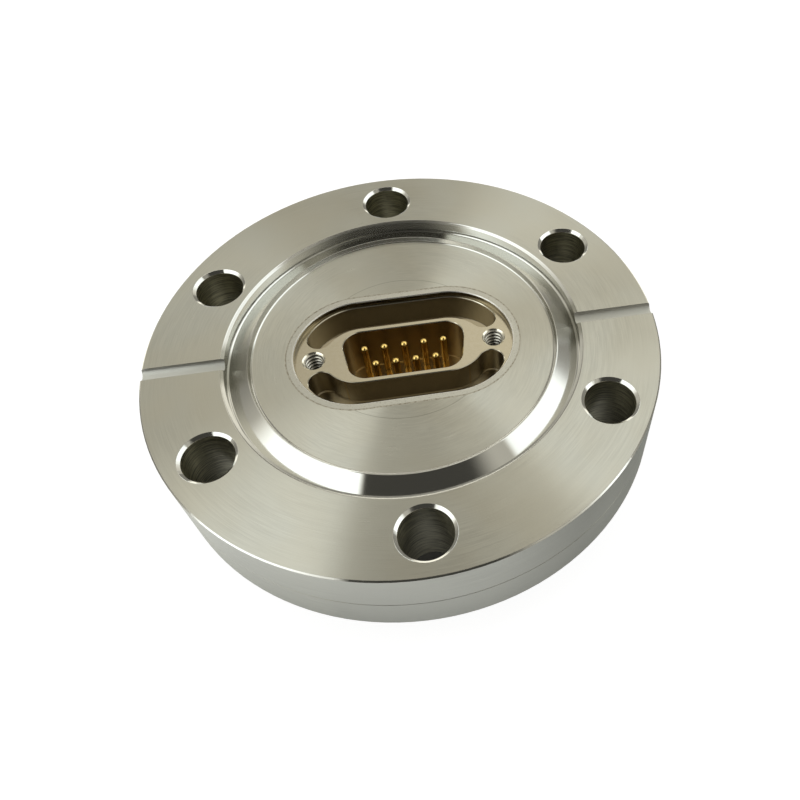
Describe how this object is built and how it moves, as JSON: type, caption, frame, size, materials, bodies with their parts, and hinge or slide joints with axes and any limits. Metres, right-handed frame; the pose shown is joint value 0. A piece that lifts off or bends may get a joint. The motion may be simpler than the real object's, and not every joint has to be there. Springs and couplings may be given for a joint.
{
  "type": "vacuum feedthrough",
  "caption": "Round knife-edge vacuum flange with a milled insert that carries a D-shaped connector with gold contacts in glass seals.",
  "frame": {"origin": "centre of the flange's front face, on the vacuum side", "axes": "+Z out of the front face into the vacuum; X along the leak-check grooves and the contact rows; +Y towards the wide side of the D-shaped shell"},
  "size_m": [0.07, 0.07, 0.0205],
  "materials": {
    "turned_steel": "fine-turned stainless steel with circular tool marks and a polished knife edge",
    "milled_steel": "milled stainless steel, satin, warm in its deep pockets",
    "gold_plate": "polished gold plating",
    "seal_glass": "dark sealing glass"
  },
  "bodies": {
    "root": {"flange": "turned_steel", "connector_insert": "milled_steel", "contact_pin_1": "gold_plate", "glass_seal_1": "seal_glass", "contact_pin_2": "gold_plate", "glass_seal_2": "seal_glass", "contact_pin_3": "gold_plate", "glass_seal_3": "seal_glass", "contact_pin_4": "gold_plate", "glass_seal_4": "seal_glass", "contact_pin_5": "gold_plate", "glass_seal_5": "seal_glass", "contact_pin_6": "gold_plate", "glass_seal_6": "seal_glass", "contact_pin_7": "gold_plate", "glass_seal_7": "seal_glass", "contact_pin_8": "gold_plate", "glass_seal_8": "seal_glass", "contact_pin_9": "gold_plate", "glass_seal_9": "seal_glass"}
  },
  "joints": []
}
